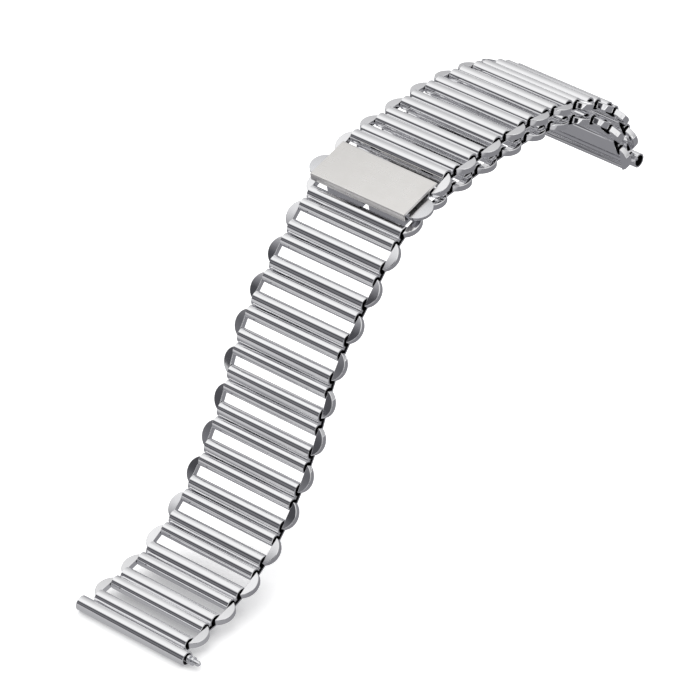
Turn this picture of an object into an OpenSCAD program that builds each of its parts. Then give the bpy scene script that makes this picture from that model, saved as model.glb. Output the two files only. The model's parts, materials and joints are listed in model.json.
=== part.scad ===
// Metal watch bracelet: stamped rung rings joined by folded connectors, held in a hinged clasp
// X runs across the strap, Y along it with the front end toward -Y, Z up
// The origin is the middle of the connector that the clasp holds

/* [Rung rings] */
// Width of the strap, which is a ring's outer length
ring_len = 19.6; // [16:0.1:24]
// Outer width of a ring, along the strap
ring_wide = 4.15; // [3.8:0.05:5]
// Diameter of a ring's two round bars
bar_d = 1.0; // [0.8:0.05:1.1]
// Depth of the flat plate at each end of a ring
plate_depth = 1.3; // [1:0.05:1.8]
// Straight part of that plate, before its round end starts
plate_straight = 0.15; // [0.1:0.05:0.5]
// Thickness of that plate
plate_thick = 1.0; // [0.7:0.05:1.2]
// Chamfer round the plate's edge
plate_bevel = 0.14; // [0.05:0.01:0.25]

/* [Connectors] */
// Outer diameter of a curl
curl_d = 1.9; // [1.7:0.05:2.1]
// Thickness of the folded sheet
sheet = 0.25; // [0.2:0.01:0.3]
// Valley between the two curls of a connector
fold_gap = 0.3; // [0.1:0.05:0.6]
// Slit between the web and the sheet's tucked-in edges
seam = 0.12; // [0.05:0.01:0.2]
// How far a bar sits from its curl's middle, toward the next ring
bar_out = 0.15; // [0.05:0.01:0.15]
// Gap between a connector's end and a ring's end plate
end_play = 0.1; // [0.05:0.05:0.3]

/* [End connectors] */
// How far the tube for the spring bar stands out past each side of the strap
tube_proud = 0.1; // [0:0.05:0.5]
// Outer diameter of that tube
tube_d = 2.25; // [2.1:0.05:2.6]
// Bore of that tube
tube_bore = 1.75; // [1.6:0.05:1.8]
// Slit between the tube and the curl
tube_slit = 0.025; // [0.02:0.005:0.3]

/* [Spring bars] */
// How far each end of the barrel lies inside the tube, with the bar in the middle
barrel_inset = 2.1; // [1.5:0.1:3]
// Outer diameter of the barrel
barrel_d = 1.5; // [1.4:0.01:1.55]
// Bore of the barrel
barrel_bore = 1.28; // [1.27:0.01:1.32]
// Diameter of each mouth of the barrel
mouth_d = 1.16; // [1.15:0.01:1.2]
// Length of each rolled-in mouth
mouth_len = 0.3; // [0.2:0.05:0.5]
// Diameter of a tip's head, inside the barrel
head_d = 1.24; // [1.22:0.01:1.26]
// Length of that head
head_len = 0.8; // [0.5:0.1:1.5]
// Diameter of a tip's stem
stem_d = 1.12; // [0.9:0.01:1.14]
// Length of the stem between the barrel and the first flange
stem_len = 1.3; // [1:0.1:1.6]
// Diameter of the two flanges
flange_d = 1.3; // [1.2:0.05:1.5]
// Thickness of a flange, and of the groove between the two
flange_thick = 0.35; // [0.2:0.05:0.5]
// Diameter of the core between the two flanges
groove_d = 0.48; // [0.4:0.02:0.9]
// Diameter of the nose
nose_d = 0.8; // [0.6:0.05:0.9]
// Length of the nose
nose_len = 1.05; // [0.8:0.05:1.5]
// Length of the nose's cone
nose_cone = 0.3; // [0.1:0.05:0.5]
// Outer diameter of the coil spring
spring_d = 1.2; // [1.1:0.01:1.26]
// Inner diameter of the coil spring
spring_bore = 0.9; // [0.7:0.01:1]
// How far the front bar has slid toward +X in its tube
front_shift = 0.9; // [-2:0.1:2]
// How far the back bar has slid toward +X in its tube
back_shift = -1.6; // [-2:0.1:2]

/* [Clasp] */
// Slope of the clasp
clasp_slope = 13; // [5:1:20]
// Gap between the base plate and the connector under it
base_gap = 0.1; // [0.05:0.05:0.3]
// Thickness of the base plate
base_thick = 0.5; // [0.3:0.05:0.6]
// Distance from the held connector's middle to the base plate's front edge
base_front = 2.45; // [2.2:0.05:2.7]
// Distance from the held connector's middle back to the hinge bar
hinge_back = 2.6; // [2.4:0.05:3]
// Height of the hinge bar over the base plate's underside
hinge_rise = 0.3; // [0.2:0.05:0.4]
// How far a thumb tab stands out past each side of the strap
tab_proud = 0.9; // [0.3:0.1:2]
// Diameter of a thumb tab
tab_d = 4.2; // [3:0.1:4.4]
// Distance from the held connector's middle forward to the tabs' middle
tab_front = 0.9; // [0:0.1:1.2]
// Running clearance round the hinge bar in its knuckles
bar_play = 0.05; // [0.03:0.01:0.08]
// Wall of a knuckle
knuckle_wall = 0.2; // [0.15:0.01:0.3]
// Length of a knuckle
knuckle_len = 2.1; // [1:0.1:3]
// Gap between a knuckle's outer end and the hinge ring's end plate
knuckle_play = 0.2; // [0.1:0.05:0.4]
// Thickness of the cover plate
cover_thick = 0.45; // [0.3:0.05:0.6]
// Distance from the held connector's middle to the cover's front face
cover_front = 4.0; // [3.4:0.1:4.2]
// How far the cover reaches back past its hook
cover_back = 0.3; // [0.05:0.05:0.35]
// Thickness of the cover's front lip
lip_thick = 0.3; // [0.2:0.05:0.4]
// How far the front lip turns down below the cover's underside
lip_drop = 0.75; // [0.4:0.05:0.9]
// Radius of the cover's rear top edge
cover_round = 0.4; // [0.1:0.05:0.4]
// Gap between the cover's side and a ring's end plate
cover_play = 0.05; // [0.05:0.05:0.4]
// Clearance round the hinge bar inside the cover's hook
hook_play = 0.1; // [0.05:0.01:0.15]
// Gap between the hook's end and a knuckle
hook_side = 0.2; // [0.1:0.05:0.5]
// How far round the hinge bar the hook reaches below it, in degrees
hook_wrap = 45; // [20:1:60]
// Width of a claw
claw_wide = 6.4; // [1:0.1:7.6]
// Distance from the middle of the strap to the middle of a claw
claw_at = 3.8; // [3.5:0.1:4.4]
// Thickness of a claw
claw_thick = 0.3; // [0.2:0.05:0.4]
// Gap between a claw and the underside of the held connector
claw_gap = 0.15; // [0.1:0.05:0.3]
// How far short of the held connector's middle a claw ends
claw_stop = 0.5; // [0:0.1:1]

/* [Hidden] */
// Slopes of the pieces in degrees from +Y toward +Z, outward from the clasp: ring, connector, ring
front_slopes = [22, 32, 41, 45, 45, 44, 45, 50, 57, 63, 67, 67, 64, 60,
                57, 53, 49, 44, 38, 32, 26, 18, 10, 4, 7, 14];
tail_slopes = [4, 0, 0, 1, 1, 0, -2, -5, -9, -11, -15, -20, -25, -32, -39, -47, -57, -67, -77];
short_slopes = [20, -2, -1, 0, 1, 0, -3, -6, -9, -12, -15, -20, -25, -30, -36, -43, -54, -63, -72, -81];

// Number of the ring just ahead of the clasp, counted from the front end
held = len(front_slopes) / 2;
tube_len = ring_len + 2 * tube_proud;
barrel_len = tube_len - 2 * barrel_inset;
tab_reach = ring_len / 2 + tab_proud;
bar_gap = ring_wide - bar_d;
window_half = ring_len / 2 - plate_depth;
conn_len = 2 * (window_half - end_play);
curl_pitch = curl_d + fold_gap;
curl_bore = curl_d - 2 * sheet;
conn_step = curl_pitch + 2 * bar_out;
tube_pitch = (curl_d + tube_d) / 2 + tube_slit;
bore_half = barrel_len / 2 - mouth_len;
base_low = curl_d / 2 + base_gap;
hinge_high = base_low + hinge_rise;
knuckle_r = bar_d / 2 + bar_play + knuckle_wall;
hook_r = bar_d / 2 + hook_play + sheet;
base_back = hinge_back - hook_r - bar_play;
knuckle_out = window_half - knuckle_play;
hook_half = knuckle_out - knuckle_len - hook_side;
cover_low = hinge_high + knuckle_r + bar_play;
cover_half = window_half - cover_play;
claw_low = -curl_d / 2 - claw_gap - claw_thick;
eps = 0.01;
smooth = 48;

// A point of the clasp's own frame: along the strap, then up from it
function on_clasp(along, up) = [along * cos(clasp_slope) - up * sin(clasp_slope),
                                along * sin(clasp_slope) + up * cos(clasp_slope)];
front_start = on_clasp(-conn_step / 2, 0);
tail_start = on_clasp(conn_step / 2, 0);
short_start = on_clasp(hinge_back, hinge_high);

// Near hinge of piece i on a run of pieces that leaves the clasp toward side (1 is +Y)
function step_of(i) = i % 2 == 0 ? bar_gap : conn_step;
function hinge_of(start, slopes, side, i) = i == 0 ? start
    : hinge_of(start, slopes, side, i - 1)
      + side * step_of(i - 1) * [cos(slopes[i - 1]), sin(slopes[i - 1])];
function tube_of(start, slopes, side) = hinge_of(start, slopes, side, len(slopes) - 1)
    + side * (bar_out + tube_pitch) * [cos(slopes[len(slopes) - 1]), sin(slopes[len(slopes) - 1])];
front_tube = tube_of(front_start, front_slopes, -1);
back_tube = tube_of(short_start, short_slopes, 1);

function front_name(i) = i == len(front_slopes) - 1 ? "front_end"
    : i % 2 == 0 ? str("ring_", held - i / 2) : str("connector_", held - (i + 1) / 2);
tail_pairs = (len(tail_slopes) - 1) / 2;
short_pairs = (len(short_slopes) - 2) / 2;
function tail_name(k) = str("tail_", held + k + 1);
function short_name(k) = str("short_", k + 1);
last_ring = str("ring_", held + tail_pairs + 1);
short_ring = str("short_ring_", short_pairs + 1);

// Solid rod along X through the point (y, z)
module rod(length, d, y = 0, z = 0) {
    translate([0, y, z]) rotate([0, 90, 0]) cylinder(h = length, d = d, center = true, $fn = smooth);
}

// Box centred on X, from its low (y, z) corner
module block(length, y, z, wide, high) {
    translate([-length / 2, y, z]) cube([length, wide, high]);
}

// Puts a piece, drawn from its near hinge toward +Y, on piece i of a run
module on_run(start, slopes, side, i) {
    hinge = hinge_of(start, slopes, side, i);
    translate([0, hinge[0], hinge[1]]) rotate([slopes[i], 0, 0]) mirror([0, side < 0 ? 1 : 0, 0]) children();
}

// Flat round-ended plate that closes a ring at its +X end
module end_plate() {
    round_depth = plate_depth - plate_straight;
    half = plate_thick / 2;
    r = (ring_wide * ring_wide / 4 + round_depth * round_depth) / (2 * round_depth);
    intersection() {
        translate([ring_len / 2 - r, 0, 0])
            rotate_extrude($fn = 2 * smooth)
                polygon([[0, -half], [r - plate_bevel, -half], [r, plate_bevel - half],
                         [r, half - plate_bevel], [r - plate_bevel, half], [0, half]]);
        translate([window_half, -ring_wide / 2, -half]) cube([plate_depth, ring_wide, plate_thick]);
    }
}

// One rung ring, from its near bar
module ring() {
    color("silver") {
        for (y = [0, bar_gap]) rod(2 * (window_half + plate_straight), bar_d, y);
        for (end = [0, 1]) mirror([end, 0, 0]) translate([0, bar_gap / 2, 0]) end_plate();
    }
}

// Folded sheet with a curl round each of two bars, from its near bar
module connector() {
    curls = [bar_out, bar_out + curl_pitch];
    color("gainsboro")
        difference() {
            union() {
                for (y = curls) rod(conn_len, curl_d, y);
                block(conn_len, bar_out, -curl_d / 2, curl_pitch, sheet);
            }
            for (y = curls) rod(conn_len + 2 * eps, curl_bore, y);
            block(conn_len + 2 * eps, bar_out, sheet - curl_d / 2, curl_pitch, seam);
        }
}

// Last piece of a strap: a curl round a ring's bar and a tube for the spring bar
module end_connector() {
    tube_at = bar_out + tube_pitch;
    color("gainsboro")
        difference() {
            union() {
                rod(conn_len, curl_d, bar_out);
                rod(tube_len, tube_d, tube_at);
                block(conn_len, bar_out, -curl_d / 2, tube_pitch, sheet);
            }
            rod(conn_len + 2 * eps, curl_bore, bar_out);
            rod(tube_len + 2 * eps, tube_bore, tube_at);
        }
}

// Ring and the connector that hangs on it, for the pieces that share a node
module pair(start, slopes, side, i) {
    on_run(start, slopes, side, i) ring();
    on_run(start, slopes, side, i + 1) connector();
}

// Stamped plate over the held connector, with thumb tabs and the rear knuckles
module clasp_base() {
    color("silver")
        difference() {
            union() {
                block(conn_len, -base_front, base_low, base_front + base_back, base_thick);
                for (side = [-1, 1])
                    translate([side * (tab_reach - tab_d / 2), -tab_front, base_low])
                        cylinder(h = base_thick, d = tab_d, $fn = 2 * smooth);
                for (side = [-1, 1]) translate([side * (knuckle_out - knuckle_len / 2), 0, 0]) {
                    rod(knuckle_len, 2 * knuckle_r, hinge_back, hinge_high);
                    block(knuckle_len, base_back - eps, base_low, hinge_back - base_back, base_thick);
                }
            }
            rod(ring_len, bar_d + 2 * bar_play, hinge_back, hinge_high);
        }
}

// Two claws that reach down from the base plate and under the held connector
module clasp_claws() {
    color("silver")
        for (side = [-1, 1]) translate([side * claw_at, 0, 0]) {
            block(claw_wide, -base_front - claw_thick, claw_low, claw_thick, base_low + base_thick - claw_low);
            block(claw_wide, -base_front - claw_thick, claw_low, base_front + claw_thick - claw_stop, claw_thick);
        }
}

// Flat cover with a turned-down front lip and a hook round the hinge bar
module clasp_cover() {
    rear = hinge_back + hook_r + cover_back;
    color("gainsboro")
        difference() {
            union() {
                block(2 * cover_half, -cover_front, cover_low, cover_front + rear - cover_round, cover_thick);
                block(2 * cover_half, rear - cover_round - eps, cover_low, cover_round + eps, cover_thick - cover_round);
                intersection() {
                    rod(2 * cover_half, 2 * cover_round, rear - cover_round, cover_low + cover_thick - cover_round);
                    block(2 * cover_half, rear - cover_round - eps, cover_low, cover_round + eps, cover_thick);
                }
                block(2 * cover_half, -cover_front, cover_low - lip_drop, lip_thick, lip_drop + eps);
                hook();
            }
            rod(2 * hook_half, 2 * (hook_r - sheet), hinge_back, hinge_high);
        }
}

// Rear wall of the cover and the arc that wraps under the hinge bar
module hook() {
    block(2 * hook_half, hinge_back + hook_r - sheet, hinge_high, sheet, cover_low - hinge_high + eps);
    intersection() {
        rod(2 * hook_half, 2 * hook_r, hinge_back, hinge_high);
        translate([0, hinge_back, hinge_high]) block(2 * hook_half, 0, -2 * hook_r, 2 * hook_r, 2 * hook_r + eps);
        translate([0, hinge_back, hinge_high]) rotate([-hook_wrap, 0, 0])
            block(2 * hook_half, 0, 0, 2 * hook_r, 2 * hook_r);
    }
}

// Thin tube that the tips slide in, with a rolled-in mouth at each end
module barrel() {
    color("silver")
        difference() {
            rod(barrel_len, barrel_d);
            rod(2 * bore_half, barrel_bore);
            rod(barrel_len + 2 * eps, mouth_d);
        }
}

// Tip that points to +X: head, stem, two flanges with a groove between, and a nose
module tip() {
    stem_end = barrel_len / 2 + stem_len;
    groove = stem_end + flange_thick;
    nose_start = stem_end + 3 * flange_thick;
    nose_end = nose_start + nose_len;
    color("silver")
        rotate([0, 90, 0])
            rotate_extrude($fn = smooth)
                polygon([[0, bore_half - head_len], [head_d / 2, bore_half - head_len], [head_d / 2, bore_half],
                         [stem_d / 2, bore_half], [stem_d / 2, stem_end],
                         [flange_d / 2, stem_end], [flange_d / 2, groove],
                         [groove_d / 2, groove], [groove_d / 2, groove + flange_thick],
                         [flange_d / 2, groove + flange_thick], [flange_d / 2, nose_start],
                         [nose_d / 2, nose_start], [nose_d / 2, nose_end - nose_cone],
                         [nose_d / 4, nose_end], [0, nose_end]]);
}

// Coil spring between the two heads, as a plain tube
module spring() {
    color("gray")
        difference() {
            rod(2 * (bore_half - head_len), spring_d);
            rod(barrel_len, spring_bore);
        }
}

module held_in_clasp() {
    rotate([clasp_slope, 0, 0]) children();
}

held_in_clasp() translate([0, -conn_step / 2, 0]) connector();
held_in_clasp() clasp_base();
held_in_clasp() clasp_claws();
held_in_clasp() clasp_cover();

for (i = [0:len(front_slopes) - 1])
    on_run(front_start, front_slopes, -1, i) {
            if (i == len(front_slopes) - 1) end_connector();
            else if (i % 2 == 0) ring();
            else connector();
        }

for (k = [0:tail_pairs - 1])
    pair(tail_start, tail_slopes, 1, 2 * k);
on_run(tail_start, tail_slopes, 1, 2 * tail_pairs) ring();

for (k = [0:short_pairs - 1])
    pair(short_start, short_slopes, 1, 2 * k);
on_run(short_start, short_slopes, 1, 2 * short_pairs) ring();
on_run(short_start, short_slopes, 1, 2 * short_pairs + 1) end_connector();  // back_end

for (bar = [["front", front_tube, front_shift], ["back", back_tube, back_shift]])
    translate([bar[2], bar[1][0], bar[1][1]]) {
        barrel();
        mirror([1, 0, 0]) tip();
        tip();
        spring();
    }
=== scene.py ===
import json
import math

import bpy
from mathutils import Matrix, Vector


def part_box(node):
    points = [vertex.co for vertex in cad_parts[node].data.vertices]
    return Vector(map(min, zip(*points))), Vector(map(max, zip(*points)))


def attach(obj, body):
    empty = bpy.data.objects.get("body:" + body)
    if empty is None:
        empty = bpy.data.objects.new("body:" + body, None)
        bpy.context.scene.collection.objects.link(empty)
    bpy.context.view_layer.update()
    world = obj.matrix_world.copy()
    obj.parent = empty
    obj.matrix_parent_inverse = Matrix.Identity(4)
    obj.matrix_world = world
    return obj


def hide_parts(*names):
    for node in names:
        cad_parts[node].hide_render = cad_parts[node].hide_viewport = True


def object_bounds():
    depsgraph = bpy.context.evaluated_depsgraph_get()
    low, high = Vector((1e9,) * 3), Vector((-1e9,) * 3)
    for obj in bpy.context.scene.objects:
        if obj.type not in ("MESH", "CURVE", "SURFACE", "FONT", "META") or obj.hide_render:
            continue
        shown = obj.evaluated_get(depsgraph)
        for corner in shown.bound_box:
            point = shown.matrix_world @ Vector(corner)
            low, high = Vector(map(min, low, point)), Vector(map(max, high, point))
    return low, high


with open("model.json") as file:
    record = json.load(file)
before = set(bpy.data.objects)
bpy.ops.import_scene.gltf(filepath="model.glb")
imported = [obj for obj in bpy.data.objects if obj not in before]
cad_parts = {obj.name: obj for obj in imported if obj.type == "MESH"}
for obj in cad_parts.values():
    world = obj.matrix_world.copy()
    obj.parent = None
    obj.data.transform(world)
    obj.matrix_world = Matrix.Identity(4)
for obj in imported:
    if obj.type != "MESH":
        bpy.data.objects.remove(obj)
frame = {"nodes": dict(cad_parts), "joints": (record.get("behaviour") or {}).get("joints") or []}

cad_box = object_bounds()
bpy.ops.object.select_all(action="DESELECT")

# Masters are modelled in millimetres, and each copy is brought to metres where the frame has it
MM = 0.001

RING_HALF = 9.88
WINDOW_HALF = 8.5
BAR_GAP = 3.15
CONNECTOR_HALF = 8.4
CURL_R = 1.0
SHEET = 0.25
CURL_NEAR = 0.13
CURL_FAR = 2.33
TUBE_AT = 2.25
TUBE_R = 1.125
TUBE_HALF = 9.9
END_WEB = 1.45
CLAW_AT = 3.8
CLAW_HALF = 3.2
CLASP_SLOPE = math.radians(13)


# Modelling helpers

def pick(piece, kind, test):
    """Goes into edit mode on a piece with only those parts selected whose corners pass the test"""
    if bpy.context.mode != "OBJECT":
        bpy.ops.object.mode_set(mode="OBJECT")
    mesh = piece.data
    bpy.context.tool_settings.mesh_select_mode = (kind == "vertices", kind == "edges", kind == "polygons")
    for group in (mesh.vertices, mesh.edges, mesh.polygons):
        group.foreach_set("select", [False] * len(group))
    for part in getattr(mesh, kind):
        corners = [part.co] if kind == "vertices" else [mesh.vertices[i].co for i in part.vertices]
        part.select = test(corners)
    bpy.ops.object.mode_set(mode="EDIT")


def object_mode():
    bpy.ops.object.mode_set(mode="OBJECT")


def every(corners):
    return True


def only(piece):
    """Selects one piece and makes it active"""
    bpy.ops.object.select_all(action="DESELECT")
    piece.select_set(True)
    bpy.context.view_layer.objects.active = piece


def added(name):
    piece = bpy.context.active_object
    piece.name = name
    piece.data.name = name
    bpy.ops.object.transform_apply(location=True, rotation=True, scale=True)
    return piece


def joined(first, *others):
    only(first)
    for other in others:
        other.select_set(True)
    bpy.ops.object.join()
    return first


def modified(piece, kind, **settings):
    """Adds a modifier and applies it"""
    only(piece)
    modifier = piece.modifiers.new(kind.title(), kind)
    for key, value in settings.items():
        setattr(modifier, key, value)
    bpy.ops.object.modifier_apply(modifier=modifier.name)
    return piece


def soft_edges(piece, width, segments=2, angle=30):
    return modified(piece, "BEVEL", width=width, segments=segments, limit_method="ANGLE",
                    angle_limit=math.radians(angle), harden_normals=False)


def dressed(piece, *finishes):
    piece.data.materials.clear()
    for finish in finishes:
        piece.data.materials.append(finish)
    return piece


def outward(piece):
    pick(piece, "polygons", every)
    bpy.ops.mesh.normals_make_consistent(inside=False)
    object_mode()
    return piece


def cut(piece, point, normal):
    """Cuts away what lies on the side that the normal points to, and closes the cut"""
    pick(piece, "polygons", every)
    bpy.ops.mesh.bisect(plane_co=point, plane_no=normal, use_fill=True, clear_outer=True)
    object_mode()
    return piece


def block(name, low, high):
    size = [h - l for l, h in zip(low, high)]
    middle = [(h + l) / 2 for l, h in zip(low, high)]
    bpy.ops.mesh.primitive_cube_add(size=1, location=middle, scale=size)
    return added(name)


def rod(name, radius, x0, x1, y=0.0, z=0.0, sides=32, ends="NGON"):
    bpy.ops.mesh.primitive_cylinder_add(radius=radius, depth=x1 - x0, vertices=sides, end_fill_type=ends,
                                        location=((x0 + x1) / 2, y, z), rotation=(0, math.pi / 2, 0))
    return added(name)


# Materials

def linear(hex_colour):
    """sRGB hex to the linear colour that a shader takes"""
    values = [int(hex_colour[i:i + 2], 16) / 255 for i in (1, 3, 5)]
    return tuple(v / 12.92 if v <= 0.04045 else ((v + 0.055) / 1.055) ** 2.4 for v in values) + (1.0,)


def add_node(tree, kind, settings=None, inputs=None):
    """Adds a node with its settings; an input is a value or another node's output socket"""
    made = tree.nodes.new(kind)
    for key, value in (settings or {}).items():
        setattr(made, key, value)
    for key, value in (inputs or {}).items():
        if isinstance(value, bpy.types.NodeSocket):
            tree.links.new(value, made.inputs[key])
        else:
            made.inputs[key].default_value = value
    return made


def steel(name, colour, rough_low, rough_high, grain, bump, tint):
    """Metal with fine lines along the grain, cloudy polish and a slightly uneven tone"""
    material = bpy.data.materials.new(name)
    material.use_nodes = True
    tree = material.node_tree
    shader = tree.nodes["Principled BSDF"]
    shader.inputs["Metallic"].default_value = 1.0
    place = add_node(tree, "ShaderNodeTexCoord").outputs["Object"]
    lines_place = add_node(tree, "ShaderNodeMapping", inputs={"Vector": place, "Scale": grain})
    lines = add_node(tree, "ShaderNodeTexNoise",
                     inputs={"Vector": lines_place.outputs["Vector"], "Scale": 1.0, "Detail": 3.0, "Roughness": 0.6})
    clouds = add_node(tree, "ShaderNodeTexNoise", inputs={"Vector": place, "Scale": 450.0, "Detail": 2.0})
    both = add_node(tree, "ShaderNodeMath", {"operation": "MULTIPLY"},
                    {0: lines.outputs["Fac"], 1: clouds.outputs["Fac"]})
    rough = add_node(tree, "ShaderNodeMapRange", inputs={"Value": both.outputs["Value"], "From Min": 0.12,
                                                         "From Max": 0.4, "To Min": rough_low, "To Max": rough_high})
    tone = add_node(tree, "ShaderNodeMix", {"data_type": "RGBA"},
                    {"Factor": clouds.outputs["Fac"], 6: linear(colour), 7: linear(tint)})
    height = add_node(tree, "ShaderNodeBump", inputs={"Height": lines.outputs["Fac"], "Strength": bump,
                                                      "Distance": 0.00001})
    tree.links.new(tone.outputs[2], shader.inputs["Base Color"])
    tree.links.new(rough.outputs["Result"], shader.inputs["Roughness"])
    tree.links.new(height.outputs["Normal"], shader.inputs["Normal"])
    return material


# Stainless strip, cold rolled and folded: bright, with fine lines drawn along the curls about 0.12 mm apart
folded_strip = steel("stainless_steel_drawn_strip", "#F6F6F7", 0.02, 0.05, (60, 7000, 7000), 0.1, "#F0F0F2")
# Stainless wire and plate, stamped and tumbled: a soft polish with a faint cloud from the tumbling media
stamped_ring = steel("stainless_steel_tumbled", "#F1F1F2", 0.05, 0.1, (1500, 1500, 1500), 0.2, "#E9E9EB")
# Stainless sheet, brushed across the strap and left satin: wide, warm, light grey reflections
satin_cover = steel("stainless_steel_satin", "#F0EEEC", 0.26, 0.34, (90, 9000, 9000), 0.5, "#E8E6E3")
# Stainless sheet, stamped and bright: clear reflections, worn a little on the tabs
bright_clasp = steel("stainless_steel_stamped", "#E9E9EB", 0.16, 0.26, (1200, 1200, 1200), 0.3, "#DFE0E3")
# Free-cutting steel, turned: rings of tool marks round the axis, about 0.06 mm apart
turned_bar = steel("stainless_steel_turned", "#EDEDEF", 0.12, 0.22, (16000, 900, 900), 0.5, "#E2E3E6")
# The same strip painted nearly black: painted shade inside its folds, in the crease between the curls and on the
# rungs hidden in them
painted_fold_shade = steel("stainless_steel_painted_fold_shade", "#2A2A2C", 0.45, 0.6, (600, 3000, 3000), 0.4, "#1C1C1E")
# Spring wire, coiled and left dull
spring_wire = steel("spring_steel_coiled", "#8A8A8D", 0.35, 0.5, (12000, 900, 900), 0.8, "#77777B")


# Masters

def rung_ring():
    """Racetrack ring of two round rungs and two flat end plates, near rung on the X axis"""
    swell = BAR_GAP / 2 + 0.5
    depth = RING_HALF - WINDOW_HALF - 0.15
    arc = (swell * swell + depth * depth) / (2 * depth)
    plates = []
    for side in (-1, 1):
        bpy.ops.mesh.primitive_cylinder_add(radius=arc, depth=1.0, vertices=128,
                                            location=(side * (RING_HALF - arc), BAR_GAP / 2, 0))
        plate = added("end_plate")
        cut(plate, (side * WINDOW_HALF, 0, 0), (-side, 0, 0))
        cut(plate, (0, BAR_GAP / 2 + swell, 0), (0, 1, 0))
        cut(plate, (0, BAR_GAP / 2 - swell, 0), (0, -1, 0))
        plates.append(dressed(soft_edges(plate, 0.4, segments=7, angle=50), stamped_ring))
    rungs = [rod("rung", 0.5, -WINDOW_HALF - 0.12, WINDOW_HALF + 0.12, y) for y in (0, BAR_GAP)]
    # The rungs show only in the gaps between the curls round them, and are painted dark there as shade
    return outward(joined(*plates, *[dressed(rung, painted_fold_shade) for rung in rungs]))


def open_curl(name, y, half, gap_side, swell):
    """One curl as a thin sheet line round its bar, open on one side just above the web"""
    bpy.ops.mesh.primitive_circle_add(radius=CURL_R, vertices=40, location=(-half, y, 0),
                                      rotation=(0, math.pi / 2, 0))
    curl = added(name)
    pick(curl, "vertices", lambda corners: corners[0].z < -0.6 and gap_side * (corners[0].y - y) > 0.05)
    bpy.ops.mesh.delete(type="VERT")
    # The two curls are pressed together, and the first swells more toward the fold than the second
    pick(curl, "vertices", lambda corners: gap_side * (corners[0].y - y) > 0.01)
    bpy.ops.transform.resize(value=(1, swell, 1), center_override=(0, y, 0))
    object_mode()
    return curl


def folded(strip, half, bevel=0.035):
    """Draws a sheet line out along X, gives it the sheet's thickness inwards and eases its rims"""
    pick(strip, "edges", every)
    bpy.ops.mesh.extrude_region_move(TRANSFORM_OT_translate={"value": (2 * half, 0, 0)})
    object_mode()
    outward(strip)
    # The inner side of the sheet, which the solidify makes, gets the painted shade of the folds
    dressed(strip, folded_strip, painted_fold_shade)
    modified(strip, "SOLIDIFY", thickness=SHEET, offset=-1, use_even_offset=True, material_offset=1)
    soft_edges(strip, bevel, segments=2, angle=60)
    return strip


def paint_fold_shade(strip, test):
    """Gives the painted shade of the folds to the faces whose corners pass the test"""
    pick(strip, "polygons", test)
    strip.active_material_index = 1
    bpy.ops.object.material_slot_assign()
    object_mode()
    return strip


def connector():
    """Folded strip with a curl round the end rung of each of two rings, joined by a web underneath"""
    strip = joined(open_curl("first_curl", CURL_NEAR, CONNECTOR_HALF, 1, 1.2),
                   open_curl("second_curl", CURL_FAR, CONNECTOR_HALF, -1, 0.99))
    pick(strip, "vertices", lambda corners: corners[0].z < -CURL_R + 0.001)
    bpy.ops.mesh.edge_face_add()
    object_mode()
    folded(strip, CONNECTOR_HALF)
    # Painted shade in the crease between the two curls, down to the web
    return paint_fold_shade(strip, lambda c: all(CURL_NEAR + 0.5 < v.y < CURL_FAR - 0.5 and -0.72 < v.z < -0.1 for v in c))


def end_connector():
    """Small curl and the tube for the spring bar, bridged by the strip between them"""
    curl = open_curl("curl", CURL_NEAR, CONNECTOR_HALF, 1, 1.08)
    pick(curl, "vertices", lambda corners: corners[0].z < -CURL_R + 0.001)
    bpy.ops.mesh.extrude_region_move(TRANSFORM_OT_translate={"value": (0, END_WEB, 0)})
    object_mode()
    folded(curl, CONNECTOR_HALF)
    bpy.ops.mesh.primitive_circle_add(radius=TUBE_R, vertices=56, location=(-TUBE_HALF, TUBE_AT + CURL_NEAR, 0),
                                      rotation=(0, math.pi / 2, 0))
    tube = added("tube")
    folded(tube, TUBE_HALF, bevel=0.05)
    # Painted shade on the strip between the curl and the tube
    paint_fold_shade(curl, lambda c: all(CURL_NEAR + 0.5 < v.y and -0.72 < v.z < -0.35 for v in c))
    return joined(curl, tube)


def turned_tip():
    """Turned tip of a spring bar that points to +X: head, stem, two flanges and the nose"""
    profile = [(6.7, 0.30), (6.7, 0.58), (6.74, 0.62), (7.5, 0.62), (7.5, 0.56), (9.1, 0.56), (9.1, 0.60),
               (9.15, 0.65), (9.4, 0.65), (9.45, 0.60), (9.45, 0.24), (9.8, 0.24), (9.8, 0.60), (9.85, 0.65),
               (10.1, 0.65), (10.15, 0.60), (10.15, 0.43), (10.19, 0.40), (10.9, 0.40), (11.05, 0.33),
               (11.16, 0.24), (11.2, 0.16)]
    x, radius = profile[0]
    bpy.ops.mesh.primitive_circle_add(radius=radius, vertices=32, fill_type="NGON", location=(x, 0, 0),
                                      rotation=(0, math.pi / 2, 0))
    tip = added("tip")
    pick(tip, "polygons", every)
    for next_x, next_radius in profile[1:]:
        bpy.ops.mesh.extrude_region_move(TRANSFORM_OT_translate={"value": (next_x - x, 0, 0)})
        grow = next_radius / radius
        bpy.ops.transform.resize(value=(1, grow, grow), center_override=(next_x, 0, 0))
        x, radius = next_x, next_radius
    object_mode()
    return dressed(outward(tip), turned_bar)


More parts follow.
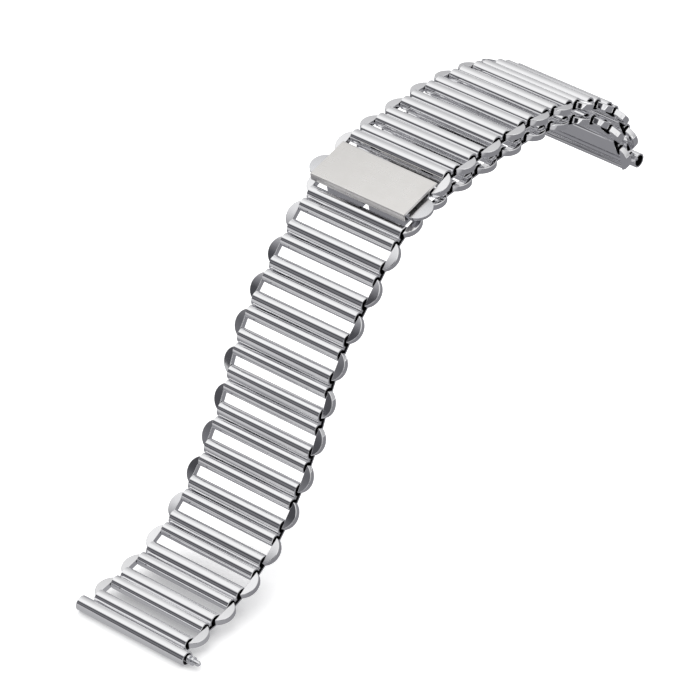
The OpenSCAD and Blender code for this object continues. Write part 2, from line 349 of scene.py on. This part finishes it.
def clasp_cover():
    """Bent cover plate with its front lip turned down and a hook behind that holds the hinge bar"""
    half, front, rear, low, high = 8.45, -4.0, 3.75, 2.15, 2.6
    plate = block("cover_plate", (-half, front, low), (half, rear, high))
    pick(plate, "edges", lambda c: all(v.y > rear - 0.01 and v.z > high - 0.01 for v in c))
    bpy.ops.mesh.bevel(offset=0.38, segments=8)
    pick(plate, "edges", lambda c: all(v.y < front + 0.01 and v.z > high - 0.01 for v in c))
    bpy.ops.mesh.bevel(offset=0.2, segments=5)
    pick(plate, "polygons", every)
    bpy.ops.mesh.bisect(plane_co=(0, front + 0.3, 0), plane_no=(0, 1, 0))
    pick(plate, "polygons", lambda c: all(v.z < low + 0.01 and v.y < front + 0.31 for v in c))
    bpy.ops.mesh.extrude_region_move(TRANSFORM_OT_translate={"value": (0, 0, -0.75)})
    object_mode()
    soft_edges(plate, 0.06, segments=3, angle=50)
    hook = rod("hook", 0.85, -4, 4, 2.6, 1.35, sides=48, ends="NOTHING")
    pick(hook, "polygons", lambda c: sum(v.y for v in c) / 4 < 2.62 or
         sum(v.z for v in c) / 4 < 1.35 - (sum(v.y for v in c) / 4 - 2.6) * 1.02)
    bpy.ops.mesh.delete(type="FACE")
    pick(hook, "edges", lambda c: all(v.y < 2.72 and v.z > 1.6 for v in c))
    bpy.ops.mesh.delete(type="EDGE")
    object_mode()
    modified(hook, "SOLIDIFY", thickness=SHEET, offset=-1, use_even_offset=True)
    return dressed(joined(plate, soft_edges(hook, 0.03, angle=60)), satin_cover)


def clasp_base():
    """Stamped plate with a round thumb tab at each side and two knuckles round the hinge bar"""
    plate = block("base_plate", (-8.4, -2.45, 1.05), (8.4, 1.7, 1.55))
    for side in (-1, 1):
        bpy.ops.mesh.primitive_cylinder_add(radius=2.1, depth=0.5, vertices=72, location=(side * 8.6, -0.9, 1.3))
        tab = added("thumb_tab")
        cut(tab, (side * 8.39, 0, 0), (-side, 0, 0))
        modified(plate, "BOOLEAN", operation="UNION", object=tab, solver="EXACT")
        bpy.data.objects.remove(tab)
    soft_edges(plate, 0.09, segments=3, angle=40)
    parts = []
    for side in (-1, 1):
        x0, x1 = sorted((side * 6.2, side * 8.3))
        knuckle = rod("knuckle", 0.75, x0, x1, 2.6, 1.35, ends="NOTHING")
        modified(knuckle, "SOLIDIFY", thickness=0.2, offset=-1, use_even_offset=True)
        soft_edges(knuckle, 0.03, angle=60)
        parts.append(knuckle)
        parts.append(block("knuckle_strap", (x0, 1.68, 1.07), (x1, 2.12, 1.53)))
    return dressed(outward(joined(plate, *parts)), bright_clasp)


def clasp_claws():
    """Two bent claws that reach down from the base plate and under the connector"""
    claws = []
    for side in (-1, 1):
        claw = block("claw", (side * CLAW_AT - CLAW_HALF, -2.75, -1.4), (side * CLAW_AT + CLAW_HALF, -2.45, 1.55))
        pick(claw, "polygons", every)
        bpy.ops.mesh.bisect(plane_co=(0, 0, -1.1), plane_no=(0, 0, 1))
        pick(claw, "polygons", lambda c: all(v.y > -2.46 and v.z < -1.09 for v in c))
        bpy.ops.mesh.extrude_region_move(TRANSFORM_OT_translate={"value": (0, 1.95, 0)})
        object_mode()
        claws.append(soft_edges(claw, 0.06, segments=2, angle=50))
    return dressed(outward(joined(*claws)), bright_clasp)


# Places, all read from the frame

joint_at = {joint["child"]: Vector(joint["pos_m"]) for joint in frame["joints"] if "pos_m" in joint}


def plates_middle(node):
    """Middle of a ring's two end plates, from the only part of the node past the window"""
    corners = [v.co for v in frame["nodes"][node].data.vertices if abs(v.co.x) > WINDOW_HALF * MM + 1e-6]
    low = [min(c[i] for c in corners) for i in (1, 2)]
    high = [max(c[i] for c in corners) for i in (1, 2)]
    return Vector((0, (low[0] + high[0]) / 2, (low[1] + high[1]) / 2))


def tube_middle(end):
    low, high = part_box(end + "_barrel")
    return Vector((0, (low.y + high.y) / 2, (low.z + high.z) / 2))


def along(start, toward):
    """Matrix that lays a master, drawn from its near rung toward +Y, from one point toward another"""
    way = (toward - start).normalized()
    if way.y < 0:
        turn = Matrix.Rotation(math.atan2(-way.z, -way.y), 4, "X") @ Matrix.Rotation(math.pi, 4, "Z")
    else:
        turn = Matrix.Rotation(math.atan2(way.z, way.y), 4, "X")
    return Matrix.Translation(start) @ turn @ Matrix.Scale(MM, 4)


on_clasp = Matrix.Rotation(CLASP_SLOPE, 4, "X") @ Matrix.Scale(MM, 4)


def placed(master, name, matrix, body, node):
    """Copies a master to its place, with its own mesh, and ties it to the frame"""
    only(master)
    bpy.ops.object.duplicate(linked=False)
    piece = bpy.context.active_object
    piece.name = name
    piece.data.name = name
    piece.matrix_world = matrix
    bpy.ops.object.transform_apply(location=True, rotation=True, scale=True)
    only(piece)
    bpy.ops.object.shade_smooth_by_angle(angle=math.radians(35))
    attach(piece, body)
    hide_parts(node)
    return piece


# The strap

ring_master = rung_ring()
connector_master = connector()
end_master = end_connector()


def place_ring(node, body, start, toward):
    return placed(ring_master, node + "_rung_ring", along(start, toward), body, node)


def place_connector(node, body, start, toward):
    placed(connector_master, node + "_fold", along(start, toward), body, node)


def place_end(node, start):
    toward = tube_middle(node.split("_")[0])
    placed(end_master, node + "_tube", along(start, toward), node, node)


front_run = []
for count in range(13, 0, -1):
    front_run.append("ring_%d" % count)
    if count > 1:
        front_run.append("connector_%d" % (count - 1))
for here, after in zip(front_run, front_run[1:] + ["front_end"]):
    if here.startswith("ring_"):
        place_ring(here, here, joint_at[here], joint_at[after])
    else:
        place_connector(here, here, joint_at[here], joint_at[after])
place_end("front_end", joint_at["front_end"])

place_connector("connector_13", "clasp", joint_at["ring_13"], joint_at["tail_14"])


def place_pair(node, after):
    start = joint_at[node]
    way = (plates_middle(node) - start).normalized()
    knee = start + way * BAR_GAP * MM
    placed(ring_master, node + "_rung_ring", along(start, knee), node, node)
    placed(connector_master, node + "_fold", along(knee, joint_at[after]), node, node)


tail_run = ["tail_%d" % count for count in range(14, 23)]
for here, after in zip(tail_run, tail_run[1:] + ["ring_23"]):
    place_pair(here, after)
# Nothing is folded round the last ring's far rung, so this ring gets no painted shade on its rungs and shows its
# polish all round
dressed(place_ring("ring_23", "ring_23", joint_at["ring_23"], plates_middle("ring_23")), stamped_ring)

short_run = ["short_%d" % count for count in range(1, 10)]
for here, after in zip(short_run, short_run[1:] + ["short_ring_10"]):
    place_pair(here, after)
place_ring("short_ring_10", "short_ring_10", joint_at["short_ring_10"], joint_at["back_end"])
place_end("back_end", joint_at["back_end"])


# The clasp

cover_master = clasp_cover()
base_master = clasp_base()
claws_master = clasp_claws()
placed(cover_master, "clasp_cover_plate", on_clasp, "cover", "clasp_cover")
placed(base_master, "clasp_base_plate", on_clasp, "clasp", "clasp_base")
placed(claws_master, "clasp_claw_pair", on_clasp, "clasp", "clasp_claws")


# Spring bars

tip_master = turned_tip()
for end in ("front", "back"):
    low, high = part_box(end + "_barrel")
    middle = (low + high) / 2
    for side, facing in (("left", -1), ("right", 1)):
        node = "%s_%s_tip" % (end, side)
        turn = Matrix.Rotation(0 if facing > 0 else math.pi, 4, "Z")
        placed(tip_master, node + "_turned", Matrix.Translation(middle) @ turn @ Matrix.Scale(MM, 4), node, node)
for node, finish in (("barrel", turned_bar), ("spring", spring_wire)):
    for end in ("front", "back"):
        kept = frame["nodes"]["%s_%s" % (end, node)]
        dressed(kept, finish)

for master in (ring_master, connector_master, end_master, cover_master, base_master, claws_master, tip_master):
    bpy.data.objects.remove(master)


# Studio

def glow(name, build):
    """Stage material that only shines, with its colour from a function that is given the tree"""
    material = bpy.data.materials.new(name)
    material.use_nodes = True
    tree = material.node_tree
    tree.nodes.remove(tree.nodes["Principled BSDF"])
    shine = add_node(tree, "ShaderNodeEmission", inputs={"Color": build(tree), "Strength": 1.0})
    tree.links.new(shine.outputs["Emission"], tree.nodes["Material Output"].inputs["Surface"])
    return material


def seen_directly(tree):
    """1 for camera, glossy and transmission rays, and 0 for the light that falls on the object"""
    path = add_node(tree, "ShaderNodeLightPath")
    some = add_node(tree, "ShaderNodeMath", {"operation": "MAXIMUM"},
                    {0: path.outputs["Is Camera Ray"], 1: path.outputs["Is Glossy Ray"]})
    return add_node(tree, "ShaderNodeMath", {"operation": "MAXIMUM"},
                    {0: some.outputs["Value"], 1: path.outputs["Is Transmission Ray"]}).outputs["Value"]


FLOOR_Z = cad_box[0].z
bpy.ops.mesh.primitive_plane_add(size=1, location=(0, 0, FLOOR_Z - 0.00002), scale=(0.56, 0.56, 1))
floor = added("floor")
floor.data.materials.append(bpy.data.materials.new("matt_white_board"))
board = floor.data.materials[0]
board.use_nodes = True
matt = board.node_tree.nodes["Principled BSDF"]
matt.inputs["Roughness"].default_value = 0.9
matt.inputs["Specular IOR Level"].default_value = 0.1
# The board is nearly overexposed, as in a catalogue picture, so only the shadow close to the metal shows on it
# The board's colour is darkened by ambient occlusion within 6 mm of the metal: a painted contact shadow, added to
# the shadow the lamp casts
near = add_node(board.node_tree, "ShaderNodeAmbientOcclusion", {"samples": 8}, {"Distance": 0.006})
shade = add_node(board.node_tree, "ShaderNodeMix", {"data_type": "RGBA"},
                 {"Factor": near.outputs["AO"], 6: linear("#A8A8A9"), 7: linear("#FDFDFD")})
board.node_tree.links.new(shade.outputs[2], matt.inputs["Base Color"])
lift = add_node(board.node_tree, "ShaderNodeMath", {"operation": "MULTIPLY"},
                {0: seen_directly(board.node_tree), 1: 0.5})
gleam = add_node(board.node_tree, "ShaderNodeEmission", inputs={"Color": shade.outputs[2],
                                                                "Strength": lift.outputs["Value"]})
both = add_node(board.node_tree, "ShaderNodeAddShader", inputs={0: matt.outputs["BSDF"],
                                                                1: gleam.outputs["Emission"]})
board.node_tree.links.new(both.outputs["Shader"], board.node_tree.nodes["Material Output"].inputs["Surface"])

# Tent round the table, white overhead, with dark flags low in front and pale grey cloth behind: it gives
# bright metal its bands
TENT_R = 1.5
TENT_FROM = -25
TENT_TO = 225
bpy.ops.mesh.primitive_cylinder_add(radius=TENT_R, depth=6, vertices=180, end_fill_type="NOTHING",
                                    location=(0, 0, 0), rotation=(0, math.pi / 2, 0))
tent = added("studio_tent")


def outside_tent(corners):
    y = sum(c.y for c in corners) / 4
    z = sum(c.z for c in corners) / 4
    turn = math.degrees(math.atan2(z, y))
    if turn < -90:
        turn += 360
    return not TENT_FROM < turn < TENT_TO


pick(tent, "polygons", outside_tent)
bpy.ops.mesh.delete(type="FACE")
object_mode()


def tent_tones(tree):
    place = add_node(tree, "ShaderNodeTexCoord").outputs["Object"]
    parts = add_node(tree, "ShaderNodeSeparateXYZ", inputs={"Vector": place})
    turned = add_node(tree, "ShaderNodeMath", {"operation": "ARCTAN2"},
                      {0: parts.outputs["Y"], 1: parts.outputs["Z"]})
    # Angle from straight up, positive toward the back
    ramp_at = add_node(tree, "ShaderNodeMapRange", inputs={"Value": turned.outputs["Value"],
                                                           "From Min": math.radians(90 - TENT_FROM),
                                                           "From Max": math.radians(90 - TENT_TO)})
    ramp = add_node(tree, "ShaderNodeValToRGB", inputs={"Fac": ramp_at.outputs["Result"]})
    stops = [(-25, "#B4B4B6"), (18, "#C8C8C9"), (36, "#D8D8D9"), (55, "#E4E4E4"), (68, "#F0F0F0"),
             (80, "#FBFBFB"), (88, "#FFFFFF"), (113, "#FFFFFF"), (123, "#EDEDEE"), (131, "#8C8C90"),
             (135, "#4C4C50"), (146, "#4C4C50"), (152, "#86868A"), (158, "#66666A"), (165, "#7C7C80"),
             (172, "#545458"), (183, "#505054"), (188, "#B0B0B2"), (225, "#C4C4C6")]
    elements = ramp.color_ramp.elements
    while len(elements) < len(stops):
        elements.new(0.5)
    for element, (angle, colour) in zip(elements, stops):
        element.position = (angle - TENT_FROM) / (TENT_TO - TENT_FROM)
    for element, (angle, colour) in zip(elements, stops):
        element.color = linear(colour)
    return ramp.outputs["Color"]


tent.data.materials.append(glow("tent_cloth_and_flag", tent_tones))


def side_tones(tree):
    """Dark low on the wall and white from a quarter of the way up"""
    place = add_node(tree, "ShaderNodeTexCoord").outputs["Object"]
    parts = add_node(tree, "ShaderNodeSeparateXYZ", inputs={"Vector": place})
    rise_at = add_node(tree, "ShaderNodeMapRange", inputs={"Value": parts.outputs["Z"], "From Min": 0.35,
                                                           "From Max": 1.3})
    return add_node(tree, "ShaderNodeMix", {"data_type": "RGBA"},
                    {"Factor": rise_at.outputs["Result"], 6: linear("#48484C"), 7: linear("#FFFFFF")}).outputs[2]


reflectors = [tent]
for x, cloth in ((-2.9, glow("tent_left_side", side_tones)),
                 (2.9, glow("tent_right_side", lambda tree: linear("#F0F0F0")))):
    bpy.ops.mesh.primitive_plane_add(size=1, location=(x, 0, 0.4), rotation=(0, math.pi / 2, 0), scale=(2, 3, 1))
    reflectors.append(dressed(added("tent_side_wall"), cloth))


def card_tones_painted_shadow(tree):
    """Grey next to the strap and paler toward the card's far edge: the strap's shadow on the table, painted on the
    card as the metal sees it
    """
    place = add_node(tree, "ShaderNodeTexCoord").outputs["Object"]
    parts = add_node(tree, "ShaderNodeSeparateXYZ", inputs={"Vector": place})
    away = add_node(tree, "ShaderNodeMapRange", inputs={"Value": parts.outputs["Y"], "From Min": -0.038,
                                                        "From Max": -0.068})
    return add_node(tree, "ShaderNodeMix", {"data_type": "RGBA"},
                    {"Factor": away.outputs["Result"], 6: linear("#8C8C90"), 7: linear("#CACACC")}).outputs[2]


# Card on the table in front of the strap, seen only in reflections, with painted shadow of the strap as grey next to
# it, and two upright ones far in front that draw lines on rounded rims
bpy.ops.mesh.primitive_plane_add(size=1, location=(-0.171, -0.159, FLOOR_Z + 0.0004), scale=(0.358, 0.242, 1))
reflectors.append(dressed(added("table_card"), glow("grey_card_painted_shadow", card_tones_painted_shadow)))
pale_card = glow("pale_card", lambda tree: linear("#C0C0C2"))
black_card = glow("black_card", lambda tree: linear("#1C1C20"))
for x0, x1, tone in ((0.1, 0.7, pale_card), (0.95, 2.2, black_card)):
    bpy.ops.mesh.primitive_plane_add(size=1, location=((x0 + x1) / 2, -1.25, 0.3), rotation=(math.pi / 2, 0, 0),
                                     scale=(x1 - x0, 0.9, 1))
    reflectors.append(dressed(added("front_card"), tone))
for reflector in reflectors:
    reflector.visible_camera = False
    reflector.visible_diffuse = False
    reflector.visible_shadow = False

world = bpy.data.worlds.new("white_room")
bpy.context.scene.world = world
world.use_nodes = True
sky = world.node_tree
shown = add_node(sky, "ShaderNodeBackground", inputs={"Color": linear("#FFFFFF"), "Strength": 1.0})
lit = sky.nodes["Background"]
lit.inputs["Color"].default_value = linear("#FCFCFD")
lit.inputs["Strength"].default_value = 0.6
choice = add_node(sky, "ShaderNodeMixShader", inputs={0: seen_directly(sky), 1: lit.outputs["Background"],
                                                      2: shown.outputs["Background"]})
sky.links.new(choice.outputs["Shader"], sky.nodes["World Output"].inputs["Surface"])


def softbox(name, place, target, size, power):
    lamp = bpy.data.lights.new(name, "AREA")
    lamp.shape = "SQUARE"
    lamp.size = size
    lamp.energy = power
    made = bpy.data.objects.new(name, lamp)
    bpy.context.scene.collection.objects.link(made)
    made.location = place
    made.rotation_euler = (Vector(target) - Vector(place)).to_track_quat("-Z", "Y").to_euler()
    return made


softbox("key_softbox", (-0.4, -0.15, 0.85), (0, 0, -0.03), 1.7, 7.6).visible_glossy = False


# Camera: turned 38.8 degrees to the right of the strap's front and 34.2 degrees down, and rolled half a degree

TURN = math.radians(38.78)
DOWN = math.radians(34.20)
right = Vector((math.cos(TURN), math.sin(TURN), 0))
rise = Vector((-math.sin(TURN) * math.sin(DOWN), math.cos(TURN) * math.sin(DOWN), math.cos(DOWN)))
back = Vector((math.sin(TURN) * math.cos(DOWN), -math.cos(TURN) * math.cos(DOWN), math.sin(DOWN)))
sight = (-back - 0.01486 * right - 0.02948 * rise).normalized()
across = (right - right.dot(sight) * sight).normalized()
upright = across.cross(sight)
lens = bpy.data.cameras.new("camera")
lens.sensor_width = 36
lens.lens = 244.25
lens.clip_start = 0.05
lens.clip_end = 20
camera = bpy.data.objects.new("camera", lens)
bpy.context.scene.collection.objects.link(camera)
turn = Matrix((across, upright, -sight)).transposed().to_4x4()
camera.matrix_world = Matrix.Translation(back * 0.6648 + Vector((0.007956, 0, 0))) @ turn
bpy.context.scene.camera = camera
bpy.context.scene.view_settings.view_transform = "Standard"
